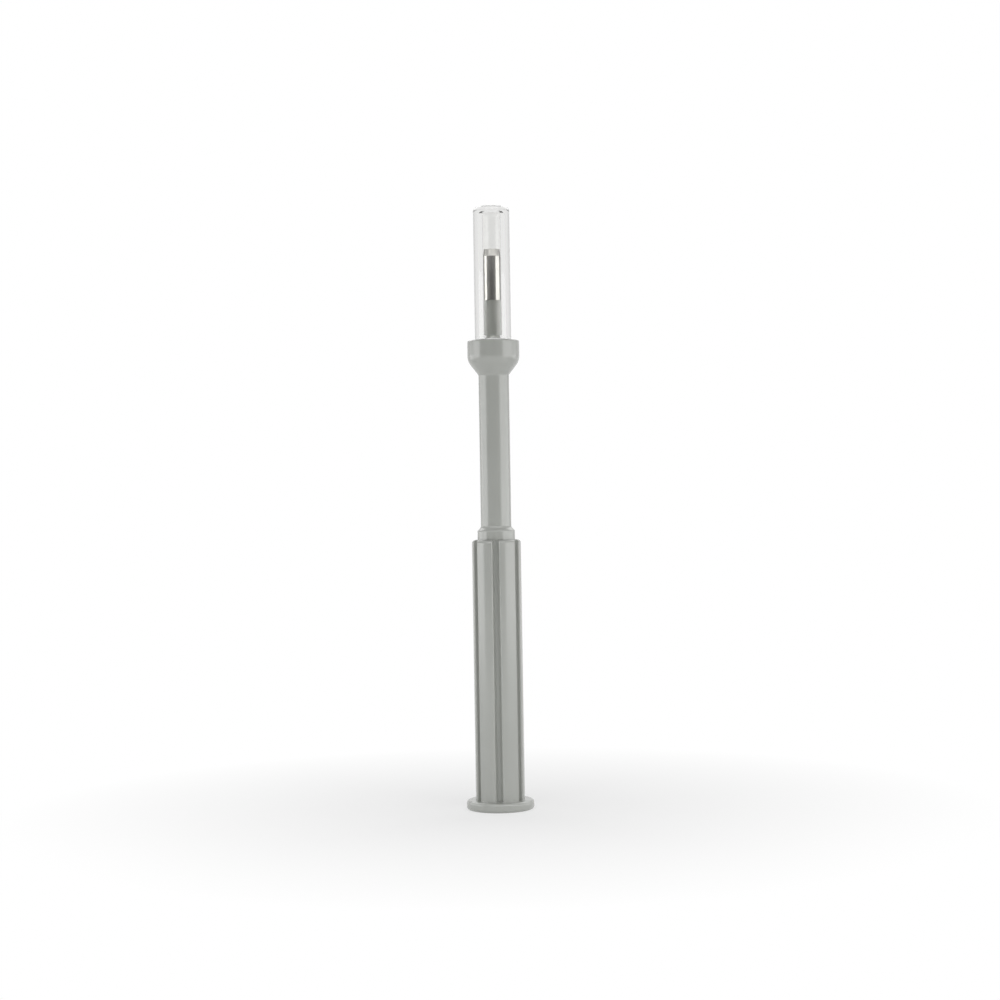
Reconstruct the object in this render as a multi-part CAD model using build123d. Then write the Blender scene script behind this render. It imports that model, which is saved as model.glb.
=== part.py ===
from build123d import *
from math import isclose, radians, tan
import os

# Disposable skin biopsy punch, in millimetres: one-piece ribbed handle, steel cutting tube, clear tip cap.
# The punch stands on its end flange. Z is its axis and runs up from the flat end face to the cutting edge.

# End flange
FLANGE_DIAMETER = 13.5
FLANGE_THICKNESS = 1.9
FLANGE_EDGE_RADIUS = 0.6

# Ribbed grip
GRIP_DIAMETER = 9.8
GRIP_LENGTH = 51.9
RIB_COUNT = 6
GROOVE_WIDTH = 1.2
GROOVE_DEPTH = 1.1
RIB_EDGE_RADIUS = 0.35
RIB_TOP_RADIUS = 0.7

# Plain shoulder above the ribs, and the slim neck
SHOULDER_DIAMETER = 7.5
SHOULDER_LENGTH = 1.8
SHOULDER_TAPER = 0.7
SHOULDER_RADIUS = 0.4
NECK_DIAMETER = 6.1
NECK_LENGTH = 30.4
NECK_RADIUS = 0.6

# Bell-shaped guard: a round band that curves in to the neck
BELL_DIAMETER = 10.4
BELL_BAND = 4.1
BELL_TAPER = 2.8
BELL_CURVE_RADIUS = 3.0
BELL_RIM_RADIUS = 0.35
BELL_ROOT_RADIUS = 0.8

# Steel cutting tube: the bore is the nominal size of the punch
TUBE_BORE = 3.0
TUBE_WALL = 0.2
TUBE_LENGTH = 10.2
BEVEL_LENGTH = 1.4
EDGE_LAND = 0.03

# Hub that carries the tube, and the spigot inside the tube
HUB_LEDGE = 0.1
HUB_LENGTH = 7.9
HUB_ROOT = 0.4
SPIGOT_LENGTH = 3.5
SPIGOT_CLEARANCE = 0.01
SPIGOT_CHAMFER = 0.3

# Clear cap over the hub and the tube
CAP_CLEARANCE = 0.03
CAP_WALL = 1.8
CAP_END_WALL = 1.0
CAP_TIP_CLEARANCE = 7.6
CAP_END_RADIUS = 0.9
CAP_MOUTH_CHAMFER = 0.25
CAP_BORE_END_CHAMFER = 0.4
CAP_ROOT_CLEARANCE = 0.1
CAP_LEAD_IN = 0.5

# A rounding takes at most these shares of a side with two ends to round, and of a groove's flank
SIDE_SHARE = 0.48
FLANK_SHARE = 0.95

# Radii that follow from the sizes above
flange_r = FLANGE_DIAMETER / 2
grip_r = GRIP_DIAMETER / 2
shoulder_r = SHOULDER_DIAMETER / 2
neck_r = NECK_DIAMETER / 2
bell_r = BELL_DIAMETER / 2
tube_bore_r = TUBE_BORE / 2
tube_r = tube_bore_r + TUBE_WALL
hub_r = tube_r + HUB_LEDGE
spigot_r = tube_bore_r - SPIGOT_CLEARANCE
cap_bore_r = hub_r + CAP_CLEARANCE
cap_r = cap_bore_r + CAP_WALL

# Heights along the axis, each piece standing on the one below
grip_base = FLANGE_THICKNESS
grip_top = grip_base + GRIP_LENGTH
shoulder_top = grip_top + SHOULDER_LENGTH
neck_base = shoulder_top + SHOULDER_TAPER
bell_base = neck_base + NECK_LENGTH
band_base = bell_base + BELL_TAPER
bell_top = band_base + BELL_BAND
hub_top = bell_top + HUB_LENGTH
spigot_top = hub_top + SPIGOT_LENGTH
cutting_edge = hub_top + TUBE_LENGTH
cap_bore_end = cutting_edge + CAP_TIP_CLEARANCE
cap_top = cap_bore_end + CAP_END_WALL
cap_mouth_r = cap_bore_r + HUB_ROOT + CAP_ROOT_CLEARANCE
cap_mouth_end = bell_top + HUB_ROOT + CAP_LEAD_IN


def fitted_rounding(before, corner, after, wanted):
    """The wanted rounding of a corner, or less where one of its sides is too short for it."""
    side_in = Vector(before) - Vector(corner)
    side_out = Vector(after) - Vector(corner)
    half_turn = radians(180 - side_in.get_angle(side_out)) / 2
    room = SIDE_SHARE * min(side_in.length, side_out.length)
    return min(wanted, room / tan(half_turn))


def turned(*corners):
    """Solid of revolution about Z from its half outline: corners as (radius, height, rounding)."""
    points = [(r, 0, z) for r, z, rounding in corners]
    outline = make_face(Polyline(*points, close=True))
    for i, (r, z, rounding) in enumerate(corners):
        if rounding:
            after = points[(i + 1) % len(points)]
            radius = fitted_rounding(points[i - 1], points[i], after, rounding)
            corner = outline.vertices().sort_by_distance(points[i])[0]
            outline = fillet(corner, radius)
    return revolve(outline, Axis.Z)


def end_flange():
    """Round plate that the punch stands on, with a rounded rim."""
    return turned(
        (0, 0, 0),
        (flange_r, 0, FLANGE_EDGE_RADIUS),
        (flange_r, grip_base, FLANGE_EDGE_RADIUS),
        (0, grip_base, 0),
    )


def widest_rib_rounding():
    """Radius that rounds a rib's edge all the way down to the round floor of its groove."""
    half_width = GROOVE_WIDTH / 2
    floor_centre = grip_r - GROOVE_DEPTH + half_width
    return (grip_r**2 - half_width**2 - floor_centre**2) / (GRIP_DIAMETER + GROOVE_WIDTH)


def ribbed_grip():
    """Round bar with straight grooves between ribs that round over at the top. One groove is in front."""
    groove_length = GROOVE_DEPTH + GROOVE_WIDTH
    groove_centre = grip_r - GROOVE_DEPTH + groove_length / 2
    grooves = PolarLocations(groove_centre, RIB_COUNT) * SlotOverall(groove_length, GROOVE_WIDTH)
    section = Circle(grip_r) - grooves
    outermost = max(Vector(v).length for v in section.vertices())
    rib_edges = section.vertices().filter_by(lambda v: isclose(Vector(v).length, outermost))
    section = fillet(rib_edges, min(RIB_EDGE_RADIUS, FLANK_SHARE * widest_rib_rounding()))
    bar = Pos(0, 0, grip_base) * extrude(Rot(0, 0, -90) * section, GRIP_LENGTH)
    envelope = turned(
        (0, grip_base, 0),
        (grip_r, grip_base, 0),
        (grip_r, grip_top, RIB_TOP_RADIUS),
        (0, grip_top, 0),
    )
    return bar & envelope


def neck_and_guard():
    """Everything above the ribs: shoulder, neck, bell-shaped guard, hub and the spigot for the tube."""
    return turned(
        (0, grip_top, 0),
        (shoulder_r, grip_top, 0),
        (shoulder_r, shoulder_top, SHOULDER_RADIUS),
        (neck_r, neck_base, NECK_RADIUS),
        (neck_r, bell_base, BELL_ROOT_RADIUS),
        (bell_r, band_base, BELL_CURVE_RADIUS),
        (bell_r, bell_top, BELL_RIM_RADIUS),
        (hub_r + HUB_ROOT, bell_top, 0),
        (hub_r, bell_top + HUB_ROOT, 0),
        (hub_r, hub_top, 0),
        (spigot_r, hub_top, 0),
        (spigot_r, spigot_top - SPIGOT_CHAMFER, 0),
        (spigot_r - SPIGOT_CHAMFER, spigot_top, 0),
        (0, spigot_top, 0),
    )


def handle():
    """The one-piece moulding."""
    return end_flange() + ribbed_grip() + neck_and_guard()


def cutting_tube():
    """Thin steel tube on the hub's ledge, ground to an edge by a long outer bevel."""
    return turned(
        (tube_bore_r, hub_top, 0),
        (tube_r, hub_top, 0),
        (tube_r, cutting_edge - BEVEL_LENGTH, 0),
        (tube_bore_r + EDGE_LAND, cutting_edge, 0),
        (tube_bore_r, cutting_edge, 0),
    )


def tip_cap():
    """Closed thick-walled cap that stands on the guard, its mouth flared to clear the hub's root."""
    return turned(
        (cap_mouth_r, bell_top, 0),
        (cap_r - CAP_MOUTH_CHAMFER, bell_top, 0),
        (cap_r, bell_top + CAP_MOUTH_CHAMFER, 0),
        (cap_r, cap_top, CAP_END_RADIUS),
        (0, cap_top, 0),
        (0, cap_bore_end, 0),
        (cap_bore_r - CAP_BORE_END_CHAMFER, cap_bore_end, 0),
        (cap_bore_r, cap_bore_end - CAP_BORE_END_CHAMFER, 0),
        (cap_bore_r, cap_mouth_end, 0),
    )


os.makedirs("parts", exist_ok=True)
export_step(handle(), "parts/handle.step")
export_step(cutting_tube(), "parts/cutting_tube.step")
export_step(tip_cap(), "parts/tip_cap.step")
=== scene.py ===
import math
import bmesh
import bpy
from mathutils import Euler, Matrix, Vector


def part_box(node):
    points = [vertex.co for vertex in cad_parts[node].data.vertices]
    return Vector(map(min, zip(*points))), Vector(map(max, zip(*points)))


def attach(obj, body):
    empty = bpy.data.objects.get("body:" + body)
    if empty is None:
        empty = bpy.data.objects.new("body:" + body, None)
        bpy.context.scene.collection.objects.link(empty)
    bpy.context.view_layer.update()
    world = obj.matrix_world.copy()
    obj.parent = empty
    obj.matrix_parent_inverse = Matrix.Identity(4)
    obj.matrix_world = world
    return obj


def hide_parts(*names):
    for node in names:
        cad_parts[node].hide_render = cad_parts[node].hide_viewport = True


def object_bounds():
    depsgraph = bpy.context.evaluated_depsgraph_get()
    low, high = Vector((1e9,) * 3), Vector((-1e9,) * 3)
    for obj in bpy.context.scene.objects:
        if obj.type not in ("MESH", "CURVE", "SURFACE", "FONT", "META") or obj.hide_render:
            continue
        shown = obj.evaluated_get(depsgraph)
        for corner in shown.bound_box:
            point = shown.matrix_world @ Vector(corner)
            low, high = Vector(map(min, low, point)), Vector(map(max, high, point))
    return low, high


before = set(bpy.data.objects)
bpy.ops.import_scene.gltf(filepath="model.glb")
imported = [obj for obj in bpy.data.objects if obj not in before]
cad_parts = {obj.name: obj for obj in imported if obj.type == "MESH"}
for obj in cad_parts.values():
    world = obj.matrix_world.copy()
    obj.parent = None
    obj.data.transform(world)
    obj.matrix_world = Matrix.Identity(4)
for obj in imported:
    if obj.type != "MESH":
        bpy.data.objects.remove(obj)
cad_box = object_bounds()

# The photograph's frame in pixels, and the real size of one pixel in the plane of the punch's axis
PICTURE_SIDE = 1000
PIXEL = 0.0002
CAMERA_DISTANCE = 2012 * PIXEL
CLIP_START = 0.01
FLOOR_ROW = 808.5
AXIS_COLUMN = 495.7
LEAN = math.radians(0.93)
AZIMUTH = math.radians(2)

# Noise in the finishes: the part of its range in use, its detail, and how strong its marks are
NOISE_RANGE = (0.3, 0.7)
FINE_DETAIL = 3.0
SMOOTH_DETAIL = 1.0
MARK_STRENGTH = 0.12

# Grey plastic
GREY_DARK = (0.37, 0.38, 0.355, 1)
GREY_LIGHT = (0.41, 0.42, 0.395, 1)
GREY_ROUGHNESS = (0.16, 0.22)
GREY_IOR = 1.7
CLOUDING_SCALE = 90
GRAIN_SCALE = 5000
GRAIN_SHARE = 0.35
GRAIN_DEPTH = 0.00002
SEAM_CORE = 0.00003
SEAM_EDGE = 0.00008

# Steel, polished on the tube and ground on its bevel
STEEL_COLOUR = (0.56, 0.552, 0.53, 1)
# The near-black edge tint is painted shade: it darkens the tube's reflection where it is seen edge on
STEEL_EDGE_PAINTED_SHADE = (0.02, 0.02, 0.02, 1)
STEEL_ROUGHNESS = (0.1, 0.18)
BEVEL_ROUGHNESS = 0.3
BEVEL_LENGTH = 0.0014
BEVEL_BLEND = 0.00004
DRAWN_SCALE = 14000
DRAWN_STRETCH = (1, 1, 0.02)
GROUND_SCALE = 22000
GROUND_STRETCH = (0.03, 0.03, 1)
LINE_DEPTH = 0.00001

# Clear plastic, with painted shade where it is seen edge on
CLEAR_FACE_TINT = (0.94, 0.94, 0.93, 1)
CLEAR_EDGE_PAINTED_SHADE = (0.25, 0.25, 0.25, 1)
CLEAR_EDGE_START = 0.5
CLEAR_ROUGHNESS = (0.015, 0.06)
CLEAR_IOR = 1.49
HAZE_SCALE = 1200
WAVE_SCALE = 350
WAVE_STRENGTH = 0.05
WAVE_DEPTH = 0.0001

# Section of the clear cap
CAP_WALL = 0.0018
CAP_END_WALL = 0.001
CAP_END_RADIUS = 0.0009
CAP_BORE_END_CHAMFER = 0.0004
CAP_MOUTH_CHAMFER = 0.00025
CAP_MOUTH_FLARE = 0.0005
CAP_MOUTH_DEPTH = 0.0009
TURNED_STEPS = 160
ROUNDING_STEPS = 10
SHARP_ANGLE = math.radians(20)

# White surroundings, and the floor that darkens towards the punch's foot
WHITE = (1, 1, 1, 1)
WHITE_THROUGH_CAP = 0.85
WORLD_FILL = 0.06
FLOOR_REACH = 3.0
FLOOR_COLOUR = (0.9, 0.9, 0.9, 1)
SHADOW_CORE = 0.012
SHADOW_END = 0.1
CORE_WHITE = 0.6

# Lamps: angles are in degrees from the camera's side towards the right
SOFTBOX_DISTANCE = 0.4
SOFTBOX_FOOT = 0.0
SOFTBOX_TOP = 0.165
RIGHT_SOFTBOX_ANGLES = (44, 92)
RIGHT_SOFTBOX_RADIANCE = 1.5
LEFT_SOFTBOX_ANGLES = (-94, -60)
LEFT_SOFTBOX_RADIANCE = 1.75
WING_TOP = 0.12
RIGHT_WING_ANGLES = (93, 122)
LEFT_WING_ANGLES = (-124, -95)
WING_RADIANCE = 1.5
TOP_SOFTBOX_ANGLE = 5
TOP_SOFTBOX_DISTANCE = 0.6
TOP_SOFTBOX_HEIGHT = 0.58
TOP_SOFTBOX_SIZE = (1.2, 0.4)
TOP_SOFTBOX_RADIANCE = 2.0
BACK_SOFTBOX_ANGLE = 180
BACK_SOFTBOX_DISTANCE = 0.35
BACK_SOFTBOX_HEIGHT = 0.4
BACK_SOFTBOX_SIZE = (0.8, 0.3)
BACK_SOFTBOX_RADIANCE = 1.5
RIGHT_FILL_ANGLE = 57
LEFT_FILL_ANGLE = -53
FILL_DISTANCE = 0.12
FILL_HEIGHT = 0.02
FILL_SIZE = (0.12, 0.04)
FILL_RADIANCE = 2.0
LIGHT_BOUNCES = 32

# Surfaces of the cap that light has crossed: none below the first, and on its way out above the second
NONE_CROSSED = 0.5
WAY_OUT_CROSSED = 2.5

# The dark flag in front, paler towards its ends, with the places across it where the shade changes
FLAG_DISTANCE = 0.6
FLAG_FOOT = 0.001
FLAG_TOP = 0.2
FLAG_START = -61
FLAG_END = 43
FLAG_STEPS = 12
FLAG_SHADE = 0.38
FLAG_PALE = 0.8
FLAG_LEFT_CHANGE = (-0.45, -0.15)
FLAG_RIGHT_CHANGE = (0.05, 0.35)


def add_node(tree, kind, inputs=(), **settings):
    """Adds a shader node. An input given as a socket is linked, and any other value is set on the node."""
    node = tree.nodes.new(kind)
    for name, value in settings.items():
        setattr(node, name, value)
    for key, value in dict(inputs).items():
        if isinstance(value, bpy.types.NodeSocket):
            tree.links.new(value, node.inputs[key])
        else:
            node.inputs[key].default_value = value
    return node


def calculate(tree, operation, first, second=0.0):
    """The result of one math operation."""
    return add_node(tree, "ShaderNodeMath", {0: first, 1: second}, operation=operation).outputs[0]


def remap(tree, value, low, high, to_low, to_high):
    """Value from one range to another, held at the ends."""
    inputs = {"Value": value, "From Min": low, "From Max": high, "To Min": to_low, "To Max": to_high}
    return add_node(tree, "ShaderNodeMapRange", inputs).outputs["Result"]


def blend(tree, factor, first, second, data_type="FLOAT"):
    """The first value or colour where the factor is 0, and the second where it is 1."""
    inputs = {"Factor": factor, "A": first, "B": second}
    return add_node(tree, "ShaderNodeMix", inputs, data_type=data_type).outputs["Result"]


def noise(tree, coordinates, scale, detail=2.0):
    """Noise from 0 to 1 with about scale features to a metre."""
    inputs = {"Vector": coordinates, "Scale": scale, "Detail": detail}
    return add_node(tree, "ShaderNodeTexNoise", inputs).outputs["Fac"]


def stretch(tree, coordinates, scale):
    """Coordinates scaled along each axis, so that noise on them runs out into lines."""
    return add_node(tree, "ShaderNodeMapping", {"Vector": coordinates, "Scale": scale}).outputs[0]


def bumps(tree, height, strength, depth):
    """The normals of a surface with bumps of this depth."""
    inputs = {"Height": height, "Strength": strength, "Distance": depth}
    return add_node(tree, "ShaderNodeBump", inputs).outputs["Normal"]


def object_place(tree):
    """The surface point in the part's own frame."""
    return add_node(tree, "ShaderNodeTexCoord").outputs["Object"]


def along_axis(tree, place, axis):
    """One coordinate of a place."""
    return add_node(tree, "ShaderNodeSeparateXYZ", {0: place}).outputs[axis]


def new_material(name):
    """An empty node material with its output."""
    material = bpy.data.materials.new(name)
    material.use_nodes = True
    material.node_tree.nodes.clear()
    output = add_node(material.node_tree, "ShaderNodeOutputMaterial")
    return material, material.node_tree, output


def grey_plastic():
    """Satin grey moulding: faint clouding, fine mould grain and a parting line down each side."""
    material, tree, output = new_material("satin_grey_plastic")
    place = object_place(tree)
    clouding = noise(tree, place, CLOUDING_SCALE, FINE_DETAIL)
    grain = noise(tree, place, GRAIN_SCALE)
    off_seam = calculate(tree, "ABSOLUTE", along_axis(tree, place, "Y"))
    seam = remap(tree, off_seam, SEAM_CORE, SEAM_EDGE, 1.0, 0.0)
    height = calculate(tree, "ADD", calculate(tree, "MULTIPLY", grain, GRAIN_SHARE), seam)
    inputs = {
        "Base Color": blend(tree, clouding, GREY_DARK, GREY_LIGHT, "RGBA"),
        "Roughness": remap(tree, grain, *NOISE_RANGE, *GREY_ROUGHNESS),
        "IOR": GREY_IOR,
        "Normal": bumps(tree, height, MARK_STRENGTH, GRAIN_DEPTH),
    }
    shader = add_node(tree, "ShaderNodeBsdfPrincipled", inputs)
    tree.links.new(shader.outputs[0], output.inputs["Surface"])
    return material


def stainless_steel():
    """Polished tube with faint drawing lines and painted shade along its outlines, and a ground bevel with
    rings round the axis.
    """
    material, tree, output = new_material("polished_steel")
    place = object_place(tree)
    bevel_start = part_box("cutting_tube")[1].z - BEVEL_LENGTH
    height_up = along_axis(tree, place, "Z")
    on_bevel = remap(tree, height_up, bevel_start - BEVEL_BLEND, bevel_start + BEVEL_BLEND, 0.0, 1.0)
    drawn = noise(tree, stretch(tree, place, DRAWN_STRETCH), DRAWN_SCALE, FINE_DETAIL)
    ground = noise(tree, stretch(tree, place, GROUND_STRETCH), GROUND_SCALE, FINE_DETAIL)
    lines = blend(tree, on_bevel, drawn, ground)
    polish = remap(tree, drawn, *NOISE_RANGE, *STEEL_ROUGHNESS)
    inputs = {
        "Base Color": STEEL_COLOUR,
        "Metallic": 1.0,
        # Painted shade along the tube's outlines
        "Specular Tint": STEEL_EDGE_PAINTED_SHADE,
        "Roughness": blend(tree, on_bevel, polish, BEVEL_ROUGHNESS),
        "Normal": bumps(tree, lines, MARK_STRENGTH, LINE_DEPTH),
    }
    shader = add_node(tree, "ShaderNodeBsdfPrincipled", inputs)
    tree.links.new(shader.outputs[0], output.inputs["Surface"])
    return material


def clear_plastic():
    """Clear moulded plastic with a trace of haze, a slightly wavy skin, and painted shade where it is seen
    edge on.
    """
    material, tree, output = new_material("clear_moulding")
    place = object_place(tree)
    waves = noise(tree, place, WAVE_SCALE, SMOOTH_DETAIL)
    haze = noise(tree, place, HAZE_SCALE)
    # Painted shade: the colour goes dark towards the outlines, where the surface is seen edge on
    facing = add_node(tree, "ShaderNodeLayerWeight", {"Blend": 0.5}).outputs["Facing"]
    edge = remap(tree, facing, CLEAR_EDGE_START, 1.0, 0.0, 1.0)
    inputs = {
        "Base Color": blend(tree, edge, CLEAR_FACE_TINT, CLEAR_EDGE_PAINTED_SHADE, "RGBA"),
        "Roughness": remap(tree, haze, *NOISE_RANGE, *CLEAR_ROUGHNESS),
        "IOR": CLEAR_IOR,
        "Transmission Weight": 1.0,
        "Normal": bumps(tree, waves, WAVE_STRENGTH, WAVE_DEPTH),
    }
    shader = add_node(tree, "ShaderNodeBsdfPrincipled", inputs)
    tree.links.new(shader.outputs[0], output.inputs["Surface"])
    return material


def rounded_corner(before, corner, after, radius):
    """Points of the arc that rounds a right-angled corner of an outline."""
    corner = Vector(corner)
    start = radius * (Vector(before) - corner).normalized()
    end = radius * (Vector(after) - corner).normalized()
    centre = corner + start + end
    turns = [math.pi / 2 * i / ROUNDING_STEPS for i in range(ROUNDING_STEPS + 1)]
    return [tuple(centre - math.cos(t) * end - math.sin(t) * start) for t in turns]


def turned_mesh(name, outline):
    """Closed mesh of revolution about Z. Its half outline of (radius, height) points ends on the axis."""
    made = bmesh.new()
    rings = []
    for radius, height in outline:
        steps = TURNED_STEPS if radius > 0 else 1
        angles = [2 * math.pi * i / steps for i in range(steps)]
        rings.append([made.verts.new((radius * math.cos(a), radius * math.sin(a), height)) for a in angles])
    for lower, upper in zip(rings, rings[1:] + rings[:1]):
        if len(lower) == len(upper) == 1:
            continue
        for i in range(TURNED_STEPS):
            j = (i + 1) % TURNED_STEPS
            along_lower = [lower[i % len(lower)], lower[j % len(lower)]]
            back_along_upper = [upper[j % len(upper)], upper[i % len(upper)]]
            made.faces.new(dict.fromkeys(along_lower + back_along_upper))
    bmesh.ops.recalc_face_normals(made, faces=made.faces)
    mesh = bpy.data.meshes.new(name)
    made.to_mesh(mesh)
    made.free()
    mesh.shade_smooth()
    mesh.set_sharp_from_angle(angle=SHARP_ANGLE)
    return mesh


def make_cap():
    """The clear cap, turned more finely than its solid so that what stands inside shows undistorted."""
    low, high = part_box("tip_cap")
    outer = high.x
    bore = outer - CAP_WALL
    bore_end = high.z - CAP_END_WALL
    shoulder = rounded_corner((outer, low.z), (outer, high.z), (0, high.z), CAP_END_RADIUS)
    outline = [
        (0, bore_end),
        (bore - CAP_BORE_END_CHAMFER, bore_end),
        (bore, bore_end - CAP_BORE_END_CHAMFER),
        (bore, low.z + CAP_MOUTH_DEPTH),
        (bore + CAP_MOUTH_FLARE, low.z),
        (outer - CAP_MOUTH_CHAMFER, low.z),
        (outer, low.z + CAP_MOUTH_CHAMFER),
        *shoulder,
        (0, high.z),
    ]
    mesh = turned_mesh("clear_cap", outline)
    mesh.materials.append(clear_plastic())
    cap = bpy.data.objects.new("clear_cap", mesh)
    bpy.context.scene.collection.objects.link(cap)
    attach(cap, "cap")
    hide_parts("tip_cap")


def dress(node, material):
    """Gives a CAD node its finish."""
    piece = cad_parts[node]
    piece.data.materials.clear()
    piece.data.materials.append(material)


def seen_white(tree):
    """The share of plain white in the surroundings, 0 for light that falls on the object, and its strength.

    The camera and mirrored light see full white. Through the cap it is a bit darker, so that the cap shows.
    """
    path = add_node(tree, "ShaderNodeLightPath").outputs
    seen = calculate(tree, "MAXIMUM", path["Is Camera Ray"], path["Is Glossy Ray"])
    share = calculate(tree, "MAXIMUM", seen, path["Is Transmission Ray"])
    strength = remap(tree, path["Is Transmission Ray"], 0.0, 1.0, 1.0, WHITE_THROUGH_CAP)
    return share, strength


def make_world():
    """White surroundings to look at, and an even soft fill for the object."""
    world = bpy.data.worlds.new("studio")
    world.use_nodes = True
    tree = world.node_tree
    tree.nodes.clear()
    output = add_node(tree, "ShaderNodeOutputWorld")
    fill = add_node(tree, "ShaderNodeBackground", {"Color": WHITE, "Strength": WORLD_FILL})
    share, strength = seen_white(tree)
    white = add_node(tree, "ShaderNodeBackground", {"Color": WHITE, "Strength": strength})
    mix = add_node(tree, "ShaderNodeMixShader", {0: share, 1: fill.outputs[0], 2: white.outputs[0]})
    tree.links.new(mix.outputs[0], output.inputs["Surface"])
    bpy.context.scene.world = world


def floor_material():
    """White floor that keeps the shadow near the object and runs out into plain white."""
    material, tree, output = new_material("white_floor")
    distance = add_node(tree, "ShaderNodeVectorMath", {0: object_place(tree)}, operation="LENGTH")
    plain = remap(tree, distance.outputs["Value"], SHADOW_CORE, SHADOW_END, CORE_WHITE, 1.0)
    seen, strength = seen_white(tree)
    share = calculate(tree, "MULTIPLY", plain, seen)
    matt = add_node(tree, "ShaderNodeBsdfDiffuse", {"Color": FLOOR_COLOUR})
    white = add_node(tree, "ShaderNodeEmission", {"Color": WHITE, "Strength": strength})
    mix = add_node(tree, "ShaderNodeMixShader", {0: share, 1: matt.outputs[0], 2: white.outputs[0]})
    tree.links.new(mix.outputs[0], output.inputs["Surface"])
    return material


def flag_material(name):
    """Dark cloth that only mirrored and scattered light meets, so it never shows through the clear cap."""
    material, tree, output = new_material(name)
    path = add_node(tree, "ShaderNodeLightPath").outputs
    bounced = calculate(tree, "ADD", path["Glossy Depth"], path["Diffuse Depth"])
    met = calculate(tree, "MINIMUM", calculate(tree, "ADD", bounced, path["Is Shadow Ray"]), 1.0)
    across = along_axis(tree, object_place(tree), "X")
    left = remap(tree, across, *FLAG_LEFT_CHANGE, FLAG_PALE, FLAG_SHADE)
    right = remap(tree, across, *FLAG_RIGHT_CHANGE, FLAG_SHADE, FLAG_PALE)
    cloth = add_node(tree, "ShaderNodeBsdfDiffuse", {"Color": calculate(tree, "MAXIMUM", left, right)})
    clear = add_node(tree, "ShaderNodeBsdfTransparent")
    mix = add_node(tree, "ShaderNodeMixShader", {0: met, 1: clear.outputs[0], 2: cloth.outputs[0]})
    tree.links.new(mix.outputs[0], output.inputs["Surface"])
    return material


def around(angle, distance, height):
    """A place round the punch, at an angle in degrees from the camera's side towards the right."""
    turn = math.radians(angle)
    return distance * math.sin(turn), -distance * math.cos(turn), height


def make_stage_mesh(name, points, faces, material):
    """A piece of the stage, which isn't part of the object."""
    mesh = bpy.data.meshes.new(name)
    mesh.from_pydata(points, [], faces)
    mesh.materials.append(material)
    piece = bpy.data.objects.new(name, mesh)
    bpy.context.scene.collection.objects.link(piece)
    return piece


def make_floor():
    """The wide white floor that the punch stands on."""
    corners = [(-1, -1), (1, -1), (1, 1), (-1, 1)]
    points = [(FLOOR_REACH * x, FLOOR_REACH * y, 0) for x, y in corners]
    make_stage_mesh("floor", points, [range(4)], floor_material())


def make_flag():
    """A standing curved flag in front, which round glossy surfaces mirror."""
    angles = [FLAG_START + (FLAG_END - FLAG_START) * i / FLAG_STEPS for i in range(FLAG_STEPS + 1)]
    points = [around(angle, FLAG_DISTANCE, z) for z in (FLAG_FOOT, FLAG_TOP) for angle in angles]
    upper = len(angles)
    faces = [(i, i + 1, upper + i + 1, upper + i) for i in range(FLAG_STEPS)]
    flag = make_stage_mesh("front_flag", points, faces, flag_material("front_flag_cloth"))
    flag.visible_camera = False


def lamp_glow(tree):
    """1 for a lamp's light, but 0 where the cap's own walls would show the lamp and be washed out by it.

    Light that bounces inside the cap, off the tube or the hub, and finds its way out keeps the lamp.
    """
    path = add_node(tree, "ShaderNodeLightPath").outputs
    outside = calculate(tree, "LESS_THAN", path["Transmission Depth"], NONE_CROSSED)
    in_and_out = calculate(tree, "GREATER_THAN", path["Transmission Depth"], WAY_OUT_CROSSED)
    bounces = calculate(tree, "ADD", path["Glossy Depth"], path["Diffuse Depth"])
    bounced = calculate(tree, "MINIMUM", bounces, 1.0)
    return calculate(tree, "MAXIMUM", outside, calculate(tree, "MULTIPLY", in_and_out, bounced))


def make_light(name, place, aim, size, radiance):
    """A soft rectangular lamp that faces a point."""
    lamp = bpy.data.lights.new(name, "AREA")
    lamp.shape = "RECTANGLE"
    lamp.size, lamp.size_y = size
    lamp.energy = radiance * math.pi * size[0] * size[1]
    lamp.use_nodes = True
    tree = lamp.node_tree
    tree.nodes.clear()
    output = add_node(tree, "ShaderNodeOutputLight")
    emission = add_node(tree, "ShaderNodeEmission", {"Strength": lamp_glow(tree)})
    tree.links.new(emission.outputs[0], output.inputs["Surface"])
    light = bpy.data.objects.new(name, lamp)
    light.location = place
    light.rotation_euler = (Vector(aim) - Vector(place)).to_track_quat("-Z", "Y").to_euler()
    bpy.context.scene.collection.objects.link(light)
    return light


def make_side_light(name, angles, radiance, top):
    """An upright softbox that stands on the floor and spans the angles from the first to the second."""
    start, end = angles
    width = 2 * SOFTBOX_DISTANCE * math.tan(math.radians(end - start) / 2)
    height = (SOFTBOX_FOOT + top) / 2
    place = around((start + end) / 2, SOFTBOX_DISTANCE, height)
    make_light(name, place, (0, 0, height), (width, top - SOFTBOX_FOOT), radiance)


def make_low_fill(name, angle):
    """A strip close to the floor that lifts the lower grip, and that nothing mirrors."""
    place = around(angle, FILL_DISTANCE, FILL_HEIGHT)
    fill = make_light(name, place, (0, 0, FILL_HEIGHT), FILL_SIZE, FILL_RADIANCE)
    fill.visible_camera = False
    fill.visible_glossy = False


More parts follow.
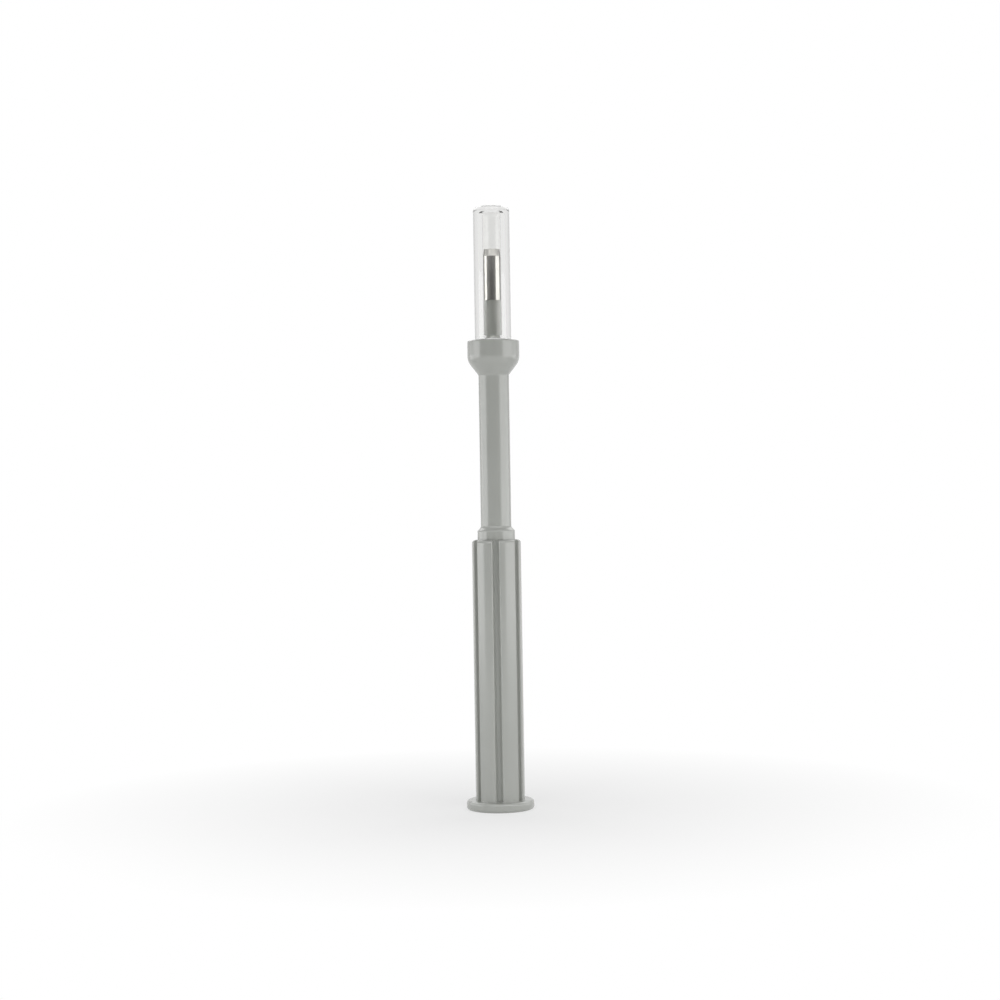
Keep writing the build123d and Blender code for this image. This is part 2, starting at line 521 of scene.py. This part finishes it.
def make_lights(middle):
    """Softboxes and low wings on both sides, a softbox above the camera and one behind, and low fills."""
    make_side_light("right_softbox", RIGHT_SOFTBOX_ANGLES, RIGHT_SOFTBOX_RADIANCE, SOFTBOX_TOP)
    make_side_light("left_softbox", LEFT_SOFTBOX_ANGLES, LEFT_SOFTBOX_RADIANCE, SOFTBOX_TOP)
    make_side_light("right_wing", RIGHT_WING_ANGLES, WING_RADIANCE, WING_TOP)
    make_side_light("left_wing", LEFT_WING_ANGLES, WING_RADIANCE, WING_TOP)
    above = around(TOP_SOFTBOX_ANGLE, TOP_SOFTBOX_DISTANCE, TOP_SOFTBOX_HEIGHT)
    make_light("top_softbox", above, middle, TOP_SOFTBOX_SIZE, TOP_SOFTBOX_RADIANCE)
    make_low_fill("right_fill", RIGHT_FILL_ANGLE)
    make_low_fill("left_fill", LEFT_FILL_ANGLE)
    behind = around(BACK_SOFTBOX_ANGLE, BACK_SOFTBOX_DISTANCE, BACK_SOFTBOX_HEIGHT)
    make_light("back_softbox", behind, middle, BACK_SOFTBOX_SIZE, BACK_SOFTBOX_RADIANCE)


def let_light_through():
    """Enough bounces for light to find its way out of the clear cap's corners."""
    paths = bpy.context.scene.cycles
    paths.max_bounces = LIGHT_BOUNCES
    paths.glossy_bounces = LIGHT_BOUNCES
    paths.transmission_bounces = LIGHT_BOUNCES


def make_camera():
    """Level camera at the photograph's distance, leaning as the photograph does."""
    centre = PICTURE_SIDE / 2
    camera = bpy.data.cameras.new("camera")
    camera.angle = 2 * math.atan(centre * PIXEL / CAMERA_DISTANCE)
    camera.clip_start = CLIP_START
    holder = bpy.data.objects.new("camera", camera)
    place = Vector(((centre - AXIS_COLUMN) * PIXEL, -CAMERA_DISTANCE, (FLOOR_ROW - centre) * PIXEL))
    place.rotate(Euler((0, 0, AZIMUTH)))
    holder.location = place
    holder.rotation_euler = (math.radians(90), LEAN, AZIMUTH)
    bpy.context.scene.collection.objects.link(holder)
    bpy.context.scene.camera = holder


bpy.context.scene.view_settings.view_transform = "Standard"
let_light_through()
make_camera()
make_world()
make_floor()
make_flag()
make_lights((cad_box[0] + cad_box[1]) / 2)
dress("handle", grey_plastic())
dress("cutting_tube", stainless_steel())
make_cap()
